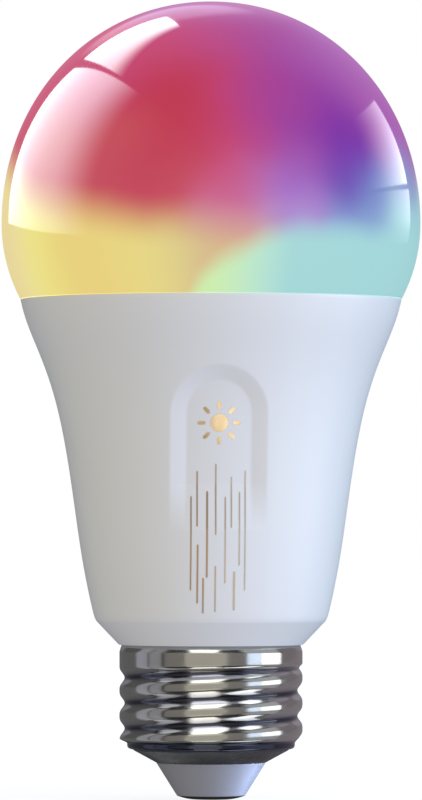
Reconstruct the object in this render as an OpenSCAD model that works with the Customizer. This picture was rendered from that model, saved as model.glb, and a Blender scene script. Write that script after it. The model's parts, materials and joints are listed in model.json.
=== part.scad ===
// Smart light bulb of the A19 size with an E26 screw base, in millimetres.
// The origin is the bottom of the centre contact. +Z runs up the axis to the top of the
// diffuser, and the decorated panel faces -Y.

/* [Diffuser] */
// Largest radius of the diffuser
dome_r = 30; // [29:0.1:31]
// Height of the widest ring of the diffuser
dome_wide_z = 82.3; // [82:0.1:83]
// Height of the top of the diffuser
dome_top_z = 114.15; // [113:0.05:116]
// How deep the lower half of the diffuser would run if it were a whole half ellipse
dome_lower_h = 26; // [25:0.5:30]
// Squareness of the upper half, where 2 is an ellipse
dome_power = 2.05; // [2:0.01:2.2]
// Wall thickness of the diffuser
dome_wall = 1.2; // [1:0.1:1.4]

/* [Housing] */
// Height of the seam between the diffuser and the housing
seam_z = 71.5; // [71.3:0.1:71.7]
// Radius of the housing where its waist starts to run straight
waist_r = 21; // [20.8:0.1:21.4]
// Height of that point
waist_z = 51.2; // [50.6:0.1:51.8]
// Radius of the housing just above its bottom bevel
foot_r = 16.85; // [16.7:0.05:17.2]
// Height where the bottom bevel starts
foot_z = 26.6; // [26.4:0.1:26.8]
// Wall thickness of the housing
housing_wall = 1.6; // [1.5:0.1:1.7]
// Outer radius of the neck inside the screw shell
neck_r = 11.9; // [11.7:0.1:11.9]

/* [Panel] */
// Half width of the arched recess at the surface
recess_r = 6.85; // [6.5:0.05:7]
// Half width of the flat floor of the recess
recess_floor_r = 4.75; // [4.6:0.05:5]
// Depth of the recess floor below the surface
recess_depth = 0.9; // [0.5:0.05:0.95]
// Height of the centre of the arch
arch_z = 54.8; // [54:0.1:55]
// Height of the centre of the symbol
symbol_z = 53.5; // [53:0.1:54]
// Radius of the symbol
symbol_r = 3.05; // [2.8:0.05:3.2]
// How deep the gold inlays sit in the housing
inlay_depth = 0.3; // [0.2:0.05:0.4]

/* [Screw base] */
// Outer radius of the screw shell, half of its nominal 26 mm size
shell_r = 13.1; // [13:0.05:13.1]
// Wall thickness of the screw shell
shell_wall = 0.3; // [0.3:0.01:0.32]
// Distance from one thread crest to the next, seven threads to the inch
thread_pitch = 3.629; // [3.6:0.001:3.66]
// Depth of the thread from crest to valley
thread_depth = 0.73; // [0.6:0.01:0.75]
// Height of the top of the screw shell
shell_top_z = 22.1; // [22.1:0.1:22.1]
// Radius of the insulating cone where it meets the centre contact
contact_r = 4.9; // [4.6:0.1:5]

/* [Light engine] */
// Height of the top of the circuit board that carries the LEDs
led_top_z = 68.8; // [68.8:0.1:69]
// Radius of that board
led_board_r = 23; // [22.5:0.1:23.2]
// Number of white LEDs, half of them cool and half of them warm
white_leds = 16; // [12:4:16]
// Number of colour LEDs
color_led_count = 6; // [3:1:6]

/* [Driver] */
// Thickness of the driver circuit board
board_t = 1.6; // [1.2:0.4:1.6]
// Half width of the driver board above the neck
board_half_w = 13.2; // [13:0.1:13.4]
// Half width of the driver board inside the neck
board_neck_half_w = 9; // [8.5:0.1:9.2]

/* [Hidden] */
$fn = 96;

// Seam, spigot and ledge between the diffuser and the housing
seam_r = dome_r * sqrt(1 - pow((dome_wide_z - seam_z) / dome_lower_h, 2));
spigot_r = 26;
spigot_t = 1;
spigot_z = 69.3;
ledge_z = 68.7;
fit_gap = 0.1;

// Bottom of the housing
bevel_z = 25.4;
bevel_r = 16.34;
bevel_foot_r = 13.2;
collar_seat_r = 12.65;
collar_seat_z = 19.9;
neck_in_r = 10.4;
neck_z = 9.8;

// The recess gets shallow over this much height before it stops at its lower end
recess_end_z = 39;
recess_run_out = 6;

// Screw shell, from its collar down to its rolled end
collar_z = 19.5;
rim_r = 12.85;
thread_low_z = 8;
thread_crest_z = 17.4;
end_ring_r = 12;
thread_segments = 40;
thread_rows = 32;
thread_embed = 0.2;
end_z = 7.2;

// Insulator and contact
ring_r = 11.15;
ring_in_r = 5.8;
ring_z = 5.25;
cone_r = 7.85;
contact_flat_r = 2.6;
contact_rim_z = 0.55;
rivet_r = 1.5;
rivet_z = 4.4;

// Light engine
led_board_t = 1.6;
pad_t = 0.2;
plate_t = 1.2;
plate_z = led_top_z - led_board_t - pad_t;
plate_hole_r = 9;
screw_x = 16.5;
screw_hole_r = 1.3;
white_led_ring_r = 19.4;
color_led_ring_r = 12.2;
white_size = [2.8, 3.5, 0.7];
white_window = [2, 2.7, 0.4];
color_size = 5;
color_h = 1.6;
color_window_r = 2.1;
color_window_h = 0.9;

// Driver
board_y = board_t / 2;
board_low_z = 12;
board_shoulder_z = 31;
board_top_z = 61;
header_pitch = 2.54;
pin_w = 0.64;
lead_r = 0.3;
radio_y = 4.8;
radio_half_w = 6;
radio_low_z = 56;
radio_top_z = 80;

// Gold lines: place across the panel, lowest height, highest height and width
LINES = [
    [-3.85, 30, 43.3, 0.2], [-3, 39, 46.8, 0.2], [-2.9, 28.2, 36.5, 0.24],
    [-1.6, 31.8, 44, 0.28], [-2.1, 26.8, 31.8, 0.24], [-0.4, 37.8, 47.8, 0.2],
    [-0.4, 27, 33.5, 0.2], [0.95, 31, 43.2, 0.2], [1.8, 38.8, 46, 0.2],
    [2.25, 27.2, 32.7, 0.3], [2.95, 33.5, 43.9, 0.2], [3.75, 30, 46.9, 0.2]
];

// Where the small surface-mounted parts sit on the back of the driver board, as [x, z]
RESISTOR_SPOTS = [[-11, 46], [-8, 46], [-5, 46], [5, 46], [8, 46], [11, 46], [-2, 52], [2, 52]];
CAPACITOR_SPOTS = [[-11, 50], [-7, 50], [7, 50], [11, 50], [-10, 54], [10, 54]];

function bezier(p, t) =
    pow(1 - t, 3) * p[0] + 3 * pow(1 - t, 2) * t * p[1]
    + 3 * (1 - t) * t * t * p[2] + pow(t, 3) * p[3];
function handle(r, z, lean, dz) = [r + lean * dz, z + dz];
function smooth(x) = let (t = min(1, max(0, x))) t * t * (3 - 2 * t);
function blend(a, b, t) = a + (b - a) * t;

// Outer side of the housing: a flare under the diffuser, then a nearly straight taper
flare = [
    [seam_r, seam_z], handle(seam_r, seam_z, 0.206, -6.1),
    handle(waist_r, waist_z, 0.182, 11.8), [waist_r, waist_z]
];
taper = [
    [waist_r, waist_z], handle(waist_r, waist_z, 0.182, -9.4),
    handle(foot_r, foot_z, 0.244, 9), [foot_r, foot_z]
];
side_steps = 9;
side = [
    for (i = [0:side_steps]) bezier(flare, i / side_steps),
    for (i = [1:side_steps]) bezier(taper, i / side_steps)
];
// The same side from the bottom up, for reading a radius at a height
side_up = [for (i = [len(side) - 1:-1:0]) [side[i].y, side[i].x]];
function housing_radius(z) = lookup(z, side_up);
// Depth of the recess floor at a height, and the radius of the panel that shows there
function floor_depth(z) =
    recess_depth * blend(0.05, 1, min(1, max(0, (z - recess_end_z) / recess_run_out)));
function floor_radius(z) = housing_radius(z) - floor_depth(z);
function panel_radius(z) = z < recess_end_z ? housing_radius(z) : floor_radius(z);

module turned(points) {
    rotate_extrude() polygon(points);
}

// A box given by its lowest corner and its highest corner
module block(low, high) {
    translate(low) cube(high - low);
}

// A round lead that leaves a part downwards and turns to the front or back of the board
module bent_lead(x, y, top_z, low_z, face_y) {
    translate([x, y, low_z]) cylinder(h = top_z - low_z, r = lead_r);
    translate([x, y, low_z]) sphere(r = lead_r);
    translate([x, y, low_z]) rotate([face_y > y ? -90 : 90, 0, 0])
        cylinder(h = abs(face_y - y), r = lead_r);
}

// ---- Diffuser and housing ----

function dome_arc(r, h, steps) = [
    for (i = [0:steps]) let (a = 90 * i / steps)
        [r * pow(cos(a), 2 / dome_power), dome_wide_z + h * pow(sin(a), 2 / dome_power)]
];
function dome_skirt(r, low_z, steps) = [
    for (i = [0:steps - 1]) let (z = blend(low_z, dome_wide_z, i / steps))
        [r * sqrt(1 - pow((dome_wide_z - z) / dome_lower_h, 2)), z]
];
function backwards(list) = [for (i = [len(list) - 1:-1:0]) list[i]];

module diffuser_dome() {
    height = dome_top_z - dome_wide_z;
    inside = concat(dome_skirt(dome_r - dome_wall, seam_z + 1.5, 5),
                    dome_arc(dome_r - dome_wall, height - dome_wall, 20));
    color("plum") turned(concat(
        dome_skirt(dome_r, seam_z, 6),
        dome_arc(dome_r, height, 20),
        backwards(inside),
        [
            [spigot_r - spigot_t, seam_z + 0.8], [spigot_r - spigot_t, spigot_z],
            [spigot_r, spigot_z], [spigot_r, seam_z]
        ]
    ));
}

module dome_sealant() {
    color("whitesmoke") turned([
        [spigot_r - 0.8, ledge_z], [spigot_r, ledge_z], [spigot_r, spigot_z],
        [spigot_r - 0.8, spigot_z]
    ]);
}

// Everything outside the recess floor
module outside_floor() {
    low_z = recess_end_z - 1.3;
    high_z = low_z + 26;
    turned(concat(
        [for (z = [low_z:2:high_z]) [floor_radius(z), z]],
        [[dome_r + 7, high_z], [dome_r + 7, low_z]]
    ));
}

// The way round the recess from its lower right end: height of the point that the outline
// turns about, and the direction from there
recess_path = concat(
    [for (z = [recess_end_z, 42, 45, 50]) [z, 0]],
    [for (a = [0:15:180]) [arch_z, a]],
    [for (z = [50, 45, 42, recess_end_z]) [z, 180]]
);

// A point on the edge of the recess, that far out from the middle of the arch and that deep
function edge_point(p, reach, share) =
    let (
        x = reach * cos(p[1]),
        z = p[0] + reach * sin(p[1]),
        r = housing_radius(z) - share * floor_depth(z)
    )
    [x, -sqrt(r * r - x * x), z];
// A point on the straight line through both edges: 0 at the floor and 1 at the surface
function wall_point(p, t) =
    blend(edge_point(p, recess_floor_r, 1), edge_point(p, recess_r, 0), t);

// The arched recess, with walls that lean outwards
module recess() {
    count = len(recess_path);
    low_ring = [for (p = recess_path) wall_point(p, -0.5)];
    high_ring = [for (p = recess_path) wall_point(p, 1.6)];
    far_ring = [for (q = high_ring) [q.x, -dome_r - 4, q.z]];
    inside = [0, 3 - floor_radius(48), 48];
    outside = [0, -dome_r - 4, 48];
    low_end = count - 1;
    high_end = 2 * count - 1;
    far_end = 3 * count - 1;
    intersection() {
        outside_floor();
        polyhedron(
            points = concat(low_ring, high_ring, far_ring, [inside, outside]),
            faces = concat(
                [for (i = [0:count - 2], f = [
                    [i, count + i + 1, i + 1], [i, count + i, count + i + 1],
                    [count + i, 2 * count + i + 1, count + i + 1],
                    [count + i, 2 * count + i, 2 * count + i + 1],
                    [far_end + 1, i, i + 1], [far_end + 2, 2 * count + i + 1, 2 * count + i]
                ]) f],
                [
                    [far_end + 1, low_end, 0], [far_end + 2, 2 * count, far_end],
                    [0, 2 * count, count], [0, far_end, 2 * count],
                    [0, low_end, far_end], [low_end, high_end, far_end]
                ]
            )
        );
    }
}

// A thin skin that follows the panel, as deep as the inlays
module inlay_skin() {
    proud = 0.04;
    levels = concat([foot_z, 30, 33, 36], [for (z = [recess_end_z:2:recess_end_z + 20]) z]);
    turned(concat(
        [for (z = levels) [panel_radius(z) + proud, z]],
        backwards([for (z = levels) [panel_radius(z) - inlay_depth, z]])
    ));
}

// Generic brightness symbol: a disc with eight rays
module symbol_outline() {
    circle(r = 0.4 * symbol_r);
    for (i = [0:7])
        rotate(45 * i) translate([0.62 * symbol_r, -0.25]) square([0.38 * symbol_r, 0.5]);
}

module emblem() {
    color("goldenrod") intersection() {
        inlay_skin();
        translate([0, 0, symbol_z]) rotate([90, 0, 0])
            linear_extrude(height = dome_r) symbol_outline();
    }
}

module accent_lines() {
    color("goldenrod") intersection() {
        inlay_skin();
        for (l = LINES)
            block([l[0] - l[3] / 2, -dome_r, l[1]], [l[0] + l[3] / 2, 0, l[2]]);
    }
}

module housing_shell() {
    inner = [for (p = backwards(side)) if (p.y < ledge_z - 0.5) [p.x - housing_wall, p.y]];
    turned(concat(
        side,
        [
            [blend(foot_r, bevel_r, 0.3), blend(foot_z, bevel_z, 0.55)], [bevel_r, bevel_z],
            [bevel_foot_r, shell_top_z], [collar_seat_r, shell_top_z],
            [collar_seat_r, collar_seat_z], [neck_r, collar_z], [neck_r, neck_z],
            [neck_in_r, neck_z], [neck_in_r, shell_top_z - 0.3]
        ],
        inner,
        [
            [housing_radius(ledge_z) - housing_wall, ledge_z], [spigot_r + fit_gap, ledge_z],
            [spigot_r + fit_gap, seam_z]
        ]
    ));
}

module housing() {
    color("whitesmoke") difference() {
        housing_shell();
        recess();
        emblem();
        accent_lines();
    }
}

// ---- Screw base ----

// Radius of the knuckle thread at a height and an angle; it is right-handed and runs out
// into the collar above and into the rolled end below
function thread_radius(z, angle) =
    let (
        wave = cos(360 * (z - thread_crest_z) / thread_pitch - angle),
        thread = shell_r - thread_depth / 2 + thread_depth / 2 * wave,
        lower = blend(thread, end_ring_r - 0.05, smooth((thread_low_z + 0.7 - z) / 0.7))
    )
    blend(lower, shell_r - 0.05, smooth(z - collar_z + 1));
function thread_wall(z) =
    shell_wall - 0.12 * max(smooth((thread_low_z + 0.7 - z) / 0.7), smooth(z - collar_z + 1));
function thread_ring(z, inset) = [
    for (j = [0:thread_segments - 1]) let (angle = 360 * j / thread_segments,
                                          r = thread_radius(z, angle) - inset)
        [r * cos(angle), r * sin(angle), z]
];
// Two triangles for the four-sided patch a, b, c, d
function patch(a, b, c, d) = [[a, b, c], [a, c, d]];

module thread_sleeve() {
    low = thread_low_z - thread_embed;
    high = collar_z + thread_embed;
    levels = [for (i = [0:thread_rows]) blend(low, high, i / thread_rows)];
    inner = (thread_rows + 1) * thread_segments;
    function at(i, j) = i * thread_segments + j % thread_segments;
    points = concat(
        [for (z = levels) each thread_ring(z, 0)],
        [for (z = levels) each thread_ring(z, thread_wall(z))]
    );
    faces = [
        for (j = [0:thread_segments - 1]) each concat(
            [for (i = [0:thread_rows - 1])
                each patch(at(i, j), at(i + 1, j), at(i + 1, j + 1), at(i, j + 1))],
            [for (i = [0:thread_rows - 1])
                each patch(inner + at(i, j), inner + at(i, j + 1),
                           inner + at(i + 1, j + 1), inner + at(i + 1, j))],
            patch(at(0, j), at(0, j + 1), inner + at(0, j + 1), inner + at(0, j)),
            patch(at(thread_rows, j + 1), at(thread_rows, j),
                  inner + at(thread_rows, j), inner + at(thread_rows, j + 1))
        )
    ];
    polyhedron(points = points, faces = faces, convexity = 6);
}

module screw_shell() {
    in_r = shell_r - shell_wall;
    end_in_r = end_ring_r - shell_wall;
    color("silver") union() {
        turned([
            [in_r, collar_z], [shell_r, collar_z], [shell_r, shell_top_z - 0.8],
            [rim_r + 0.15, shell_top_z - 0.3], [rim_r, shell_top_z], [in_r - 0.1, shell_top_z],
            [in_r - 0.1, shell_top_z - 0.4], [in_r, shell_top_z - 0.8]
        ]);
        thread_sleeve();
        turned([
            [end_ring_r, thread_low_z], [end_ring_r, end_z + 0.5], [end_ring_r - 0.15, end_z + 0.2],
            [end_ring_r - 0.5, end_z], [end_ring_r - 0.8, end_z],
            [end_ring_r - 0.8, end_z + 0.3], [end_in_r - 0.15, end_z + 0.35],
            [end_in_r, end_z + 0.6], [end_in_r, thread_low_z]
        ]);
    }
}

module insulator_ring() {
    color("black") turned([
        [ring_in_r, ring_z], [cone_r, ring_z], [ring_r, end_z - 0.15],
        [ring_r, end_z + 1.2], [ring_in_r, end_z + 1.2]
    ]);
}

module insulator_cone() {
    color("lavender") turned([
        [rivet_r, contact_rim_z + 0.65], [contact_r - 0.6, contact_rim_z + 0.65],
        [contact_r - 0.6, contact_rim_z], [contact_r, contact_rim_z], [cone_r, ring_z],
        [ring_in_r, ring_z], [contact_r - 1.2, contact_rim_z + 1.9],
        [rivet_r, contact_rim_z + 1.9]
    ]);
}

module center_contact() {
    color("slategray") turned([
        [0, 0], [contact_flat_r, 0], [0.8 * contact_r, 0.14], [contact_r - 0.3, 0.32],
        [contact_r, contact_rim_z], [contact_r - 0.6, contact_rim_z],
        [contact_r - 0.6, contact_rim_z + 0.65], [rivet_r, contact_rim_z + 0.65],
        [rivet_r, rivet_z], [0, rivet_z]
    ]);
}

// ---- Light engine ----

// Aluminium cup that carries heat from the LED board down inside the housing
module heat_sink() {
    cup_z = 37;
    knee_z = 64.3;
    rim_r = 23.85;
    color("silver") difference() {
        turned([
            [16, cup_z], [17, cup_z], [21.1, knee_z], [rim_r, plate_z - 0.5], [rim_r, plate_z],
            [plate_hole_r, plate_z], [plate_hole_r, plate_z - plate_t],
            [21.6, plate_z - plate_t], [20.1, knee_z]
        ]);
        for (side_x = [-screw_x, screw_x])
            translate([side_x, 0, plate_z - plate_t - 1]) cylinder(h = plate_t + 2, r = screw_hole_r);
    }
}

module thermal_pad() {
    color("lightpink") difference() {
        translate([0, 0, plate_z]) cylinder(h = pad_t, r = led_board_r - 0.4);
        translate([0, 0, plate_z - 1]) cylinder(h = pad_t + 2, r = plate_hole_r);
        for (side_x = [-screw_x, screw_x])
            translate([side_x, 0, plate_z - 1]) cylinder(h = pad_t + 2, r = 1.6);
    }
}

module led_board() {
    low_z = led_top_z - led_board_t;
    color("white") difference() {
        translate([0, 0, low_z]) cylinder(h = led_board_t, r = led_board_r);
        for (side_x = [-screw_x, screw_x])
            translate([side_x, 0, low_z - 1]) cylinder(h = led_board_t + 2, r = 1.5);
        block([-5.2, -2.2, low_z - 1], [5.2, -0.05, led_top_z + 1]);
        block([-radio_half_w - 0.5, radio_y - 0.3, low_z - 1],
              [radio_half_w + 0.5, radio_y + 1.1, led_top_z + 1]);
    }
}

module board_screws() {
    head_h = 1.6;
    color("gainsboro") for (side_x = [-screw_x, screw_x])
        translate([side_x, 0, 0]) difference() {
            union() {
                translate([0, 0, plate_z - plate_t - 1.3])
                    cylinder(h = led_top_z - plate_z + plate_t + 1.4, r = screw_hole_r - 0.05);
                turned([
                    [0, led_top_z], [2.3, led_top_z], [2.3, led_top_z + 0.9],
                    [1.7, led_top_z + head_h], [0, led_top_z + head_h]
                ]);
            }
            for (turn = [0, 90]) rotate(turn)
                block([-1.2, -0.25, led_top_z + 0.7], [1.2, 0.25, led_top_z + 3]);
        }
}

// Socket on the LED board that takes the pins of the driver board
module board_connector() {
    middle_y = -board_y - pin_w / 2;
    color("ivory") difference() {
        block([-5.6, middle_y - 1.5, led_top_z], [5.6, middle_y + 1.5, led_top_z + 4.7]);
        for (i = [-1.5:1.5])
            block([i * header_pitch - 0.4, middle_y - 0.4, led_top_z - 1],
                  [i * header_pitch + 0.4, middle_y + 0.4, led_top_z + 4]);
    }
}

// Places a child at every other position of the white LED ring
module white_spots(first) {
    step = 360 / white_leds;
    for (i = [first:2:white_leds - 1])
        rotate(step * (i + 0.5)) translate([white_led_ring_r, 0, led_top_z]) children();
}

module white_body() {
    well = white_size.z - white_window.z;
    difference() {
        block([-white_size.x / 2, -white_size.y / 2, 0],
              [white_size.x / 2, white_size.y / 2, white_size.z]);
        block([-white_window.x / 2, -white_window.y / 2, well],
              [white_window.x / 2, white_window.y / 2, white_size.z + 1]);
    }
}

module white_fill() {
    well = white_size.z - white_window.z;
    block([-white_window.x / 2, -white_window.y / 2, well],
          [white_window.x / 2, white_window.y / 2, white_size.z - 0.05]);
}

module cool_leds() {
    color("white") white_spots(0) white_body();
}

module cool_phosphor() {
    color("lemonchiffon") white_spots(0) white_fill();
}

module warm_leds() {
    color("white") white_spots(1) white_body();
}

module warm_phosphor() {
    color("orange") white_spots(1) white_fill();
}

module color_spots() {
    for (i = [0:color_led_count - 1])
        rotate(30 + 360 * i / color_led_count)
            translate([color_led_ring_r, 0, led_top_z]) children();
}

module color_leds() {
    color("white") color_spots() difference() {
        block([-color_size / 2, -color_size / 2, 0], [color_size / 2, color_size / 2, color_h]);
        translate([0, 0, color_h - color_window_h])
            cylinder(h = color_window_h + 1, r = color_window_r);
    }
}

module color_lenses() {
    color("lightcyan") color_spots() translate([0, 0, color_h - color_window_h])
        cylinder(h = color_window_h - 0.05, r = color_window_r);
}

// ---- Radio module ----

module radio_board() {
    color("darkblue") block([-radio_half_w, radio_y, radio_low_z],
                            [radio_half_w, radio_y + 0.8, radio_top_z]);
}

module radio_shield() {
    color("silver") block([-4.6, radio_y + 0.8, radio_low_z + 1], [4.6, radio_y + 2.8, 65.4]);
}

// Folded trace on the part of the radio board that stands inside the diffuser
module radio_antenna() {
    face = [radio_y - 0.1, radio_y];
    low_z = 71;
    high_z = radio_top_z - 1;
    folds = 8;
    step = 10 / folds;
    color("gold") for (i = [0:folds]) {
        x = -5 + i * step;
        block([x - 0.25, face[0], low_z], [x + 0.25, face[1], high_z]);
        if (i < folds) {
            bar_z = i % 2 == 0 ? high_z - 0.5 : low_z;
            block([x, face[0], bar_z], [x + step, face[1], bar_z + 0.5]);
        }
    }
}

module radio_pins() {
    color("gold") for (i = [-2:2])
        translate([i * 2, board_y, radio_low_z + 2]) rotate([-90, 0, 0])
            cylinder(h = radio_y - board_y, r = 0.32);
}

// ---- Driver ----

// Insulating sleeve between the driver and the heat sink
module driver_sleeve() {
    low_z = 30;
    high_z = 62;
    color("ivory") turned([
        [14.1, low_z], [15.7, low_z], [15.7, low_z + 0.8], [15, low_z + 0.8],
        [18.9, high_z], [18.1, high_z]
    ]);
}

module driver_board() {
    color("green") rotate([90, 0, 0]) translate([0, 0, -board_y])
        linear_extrude(height = board_t) polygon([
            [-board_neck_half_w, board_low_z], [board_neck_half_w, board_low_z],
            [board_neck_half_w, board_shoulder_z], [board_half_w, board_shoulder_z],
            [board_half_w, board_top_z], [-board_half_w, board_top_z],
            [-board_half_w, board_shoulder_z], [-board_neck_half_w, board_shoulder_z]
        ]);
}

module pin_header() {
    color("gold") for (i = [-1.5:1.5])
        block([i * header_pitch - pin_w / 2, -board_y - pin_w, board_top_z - 3.5],
              [i * header_pitch + pin_w / 2, -board_y, led_top_z + 3.7]);
}

// Places a child at the middle of the transformer
module transformer_place() {
    translate([0, -board_y - 6.7, 50]) children();
}

module transformer_core() {
    half_w = 7;
    half_h = 6;
    window_h = 4.5;
    color("dimgray") transformer_place() union() {
        difference() {
            block([-half_w, -3, -half_h], [half_w, 3, half_h]);
            block([-5.4, -4, -window_h], [5.4, 4, window_h]);
        }
        translate([0, 0, -window_h - 0.5]) cylinder(h = 2 * window_h + 1, r = 2.4);
    }
}

module transformer_bobbin() {
    flange = 5.1;
    color("saddlebrown") transformer_place() difference() {
        union() {
            for (low_z = [-4.4, 3.6]) block([-flange, -5, low_z], [flange, 6.7, low_z + 0.8]);
            translate([0, 0, -4.4]) cylinder(h = 8.8, r = 3.1);
            block([-flange, 5.2, -4.4], [flange, 6.7, 4.4]);
        }
        translate([0, 0, -5]) cylinder(h = 10, r = 2.5);
    }
}

module transformer_winding() {
    color("gold") transformer_place() difference() {
        translate([0, 0, -3.5]) cylinder(h = 7, r = 4.9);
        translate([0, 0, -4]) cylinder(h = 8, r = 3.15);
    }
}

// An aluminium can with its sleeve groove and scored top, standing on two bent leads
module can_capacitor(x, r, low_z, high_z) {
    y = -board_y - r - 0.1;
    difference() {
        translate([x, y, 0]) turned([
            [0, low_z], [r - 0.3, low_z], [r, low_z + 0.4], [r, low_z + 1.4],
            [r - 0.35, low_z + 1.8], [r, low_z + 2.2], [r, high_z - 0.4], [r - 0.4, high_z],
            [0, high_z]
        ]);
        for (turn = [0, 90]) translate([x, y, high_z]) rotate(turn)
            block([-0.6 * r, -0.1, -0.25], [0.6 * r, 0.1, 1]);
    }
    for (side_x = [-1.5, 1.5]) bent_lead(x + side_x, y, low_z + 0.1, low_z - 0.9, -board_y);
}

module bulk_capacitor() {
    color("black") can_capacitor(0, 4, 14.5, 26.5);
}

module output_capacitor() {
    color("black") can_capacitor(8.2, 4, 32.8, 43);
}

module film_capacitor() {
    color("yellow") block([-12, -6.1, 34], [-2, -board_y, 43]);
}

// Places a child on the back of the driver board, with +Z pointing away from it
module on_back(x, z) {
    translate([x, board_y, z]) rotate([-90, 0, 0]) children();
}

module choke_core() {
    color("dimgray") on_back(0, 38) turned([
        [0, 0], [4.2, 0], [4.2, 1], [1.8, 1.3], [1.8, 7.1], [4.2, 7.4], [4.2, 8.4], [0, 8.4]
    ]);
}

module choke_winding() {
    color("chocolate") on_back(0, 38) turned([[1.9, 1.5], [3.9, 1.5], [3.9, 6.9], [1.9, 6.9]]);
}

module bridge_rectifier() {
    color("black") on_back(-4.6, 25.5) union() {
        block([-2.4, -2, 0.2], [2.4, 2, 2.4]);
        for (x = [-1.27, 1.27]) for (y = [-2.7, 1.9]) block([x - 0.4, y, 0], [x + 0.4, y + 0.8, 0.6]);
    }
}

module fusible_resistor() {
    x = -6.5;
    y = -2.9;
    color("cadetblue") union() {
        translate([x, y, 0]) turned([
            [0, 15.6], [1.4, 15.6], [1.65, 16], [1.65, 17], [1.45, 17.4], [1.45, 20.2],
            [1.65, 20.6], [1.65, 21.6], [1.4, 22], [0, 22]
        ]);
        bent_lead(x, y, 15.7, 14.4, -board_y);
    }
}

module varistor() {
    color("royalblue") union() {
        on_back(3.4, 20.5) translate([0, 0, 0.3]) turned([
            [0, 0], [2.9, 0], [3.4, 0.6], [3.4, 2.2], [2.9, 2.8], [0, 2.8]
        ]);
        for (side_x = [-2, 2]) bent_lead(3.4 + side_x, board_y + 1.7, 19, 15.6, board_y);
    }
}

module driver_chip() {
    color("black") on_back(-8.6, 37) union() {
        block([-2.45, -1.95, 0.15], [2.45, 1.95, 1.6]);
        for (i = [-1.5:1.5]) for (y = [-2.9, 1.9])
            block([i * 1.27 - 0.2, y, 0], [i * 1.27 + 0.2, y + 1, 0.5]);
    }
}

module dimmer_chip() {
    color("black") on_back(8.6, 37) difference() {
        block([-2, -2, 0], [2, 2, 0.9]);
        translate([-1.4, 1.4, 0.8]) cylinder(h = 1, r = 0.3);
    }
}

module chip_resistors() {
    color("black") for (spot = RESISTOR_SPOTS) on_back(spot.x, spot.y)
        block([-1, -0.62, 0], [1, 0.62, 0.5]);
}

module chip_capacitors() {
    color("tan") for (spot = CAPACITOR_SPOTS) on_back(spot.x, spot.y)
        block([-1.6, -0.8, 0], [1.6, 0.8, 1.1]);
}

// Wire from the driver board down to the rivet of the centre contact
module live_lead() {
    color("red") translate([0, 0, rivet_z]) cylinder(h = board_low_z - rivet_z, r = 0.7);
}

// Wire from the driver board down and outwards, under the neck, to the screw shell
module neutral_lead() {
    x = -8;
    low_z = neck_z - 0.65;
    wire_r = 0.45;
    reach = end_ring_r - shell_wall - 0.15;
    color("white") union() {
        translate([x, 0, low_z]) cylinder(h = board_low_z - low_z, r = wire_r);
        translate([x, 0, low_z]) sphere(r = wire_r);
        translate([x, 0, low_z]) rotate([0, -90, 0]) cylinder(h = reach + x, r = wire_r);
    }
}

diffuser_dome();
dome_sealant();
housing();
emblem();
accent_lines();
screw_shell();
insulator_ring();
insulator_cone();
center_contact();
heat_sink();
thermal_pad();
led_board();
board_screws();
board_connector();
cool_leds();
cool_phosphor();
warm_leds();
warm_phosphor();
color_leds();
color_lenses();
radio_board();
radio_shield();
radio_antenna();
radio_pins();
driver_sleeve();
driver_board();
pin_header();
transformer_core();
transformer_bobbin();
transformer_winding();
bulk_capacitor();
output_capacitor();
film_capacitor();
choke_core();
choke_winding();
bridge_rectifier();
fusible_resistor();
varistor();
driver_chip();
dimmer_chip();
chip_resistors();
chip_capacitors();
live_lead();
neutral_lead();
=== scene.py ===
"""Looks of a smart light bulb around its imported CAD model.

The visible skins (diffuser, housing, gold inlays, screw shell, insulators and contact) are
fine meshes that stand for their CAD nodes. Everything inside keeps its CAD shape and gets a
procedural material. Shapes are worked out in millimetres and scaled to metres at the end.
"""

import json
import math

import bpy
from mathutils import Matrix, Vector


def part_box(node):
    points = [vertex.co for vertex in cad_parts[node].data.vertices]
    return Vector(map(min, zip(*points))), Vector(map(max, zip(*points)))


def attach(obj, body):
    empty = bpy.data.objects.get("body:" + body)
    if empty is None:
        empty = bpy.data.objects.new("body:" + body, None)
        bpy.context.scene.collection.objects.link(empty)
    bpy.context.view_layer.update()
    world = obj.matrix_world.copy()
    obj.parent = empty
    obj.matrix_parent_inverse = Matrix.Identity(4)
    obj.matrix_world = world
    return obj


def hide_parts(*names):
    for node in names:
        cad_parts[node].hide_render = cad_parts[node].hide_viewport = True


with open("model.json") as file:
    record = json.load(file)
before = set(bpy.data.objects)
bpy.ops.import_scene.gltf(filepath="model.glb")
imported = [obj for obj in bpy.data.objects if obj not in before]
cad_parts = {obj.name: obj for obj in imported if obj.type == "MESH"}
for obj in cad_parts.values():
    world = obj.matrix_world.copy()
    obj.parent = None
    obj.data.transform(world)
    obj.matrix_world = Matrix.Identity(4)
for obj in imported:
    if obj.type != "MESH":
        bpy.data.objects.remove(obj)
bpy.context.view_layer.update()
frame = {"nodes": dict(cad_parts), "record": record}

MM = 0.001
ON_AXIS = 1e-6


def low(node, axis):
    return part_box(node)[0][axis] / MM


def high(node, axis):
    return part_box(node)[1][axis] / MM


# Sizes that the frame gives, in millimetres
SEAM_Z = high("housing", 2)
DOME_R = round(high("diffuser_dome", 0), 2)
DOME_TOP_Z = high("diffuser_dome", 2)
SPIGOT_Z = low("diffuser_dome", 2)
NECK_Z = low("housing", 2)
SHELL_R = round(high("screw_shell", 0), 1)
SHELL_TOP_Z = high("screw_shell", 2)
SHELL_END_Z = low("screw_shell", 2)
SYMBOL_Z = (low("emblem", 2) + high("emblem", 2)) / 2
SYMBOL_R = (high("emblem", 2) - low("emblem", 2)) / 2

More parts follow.
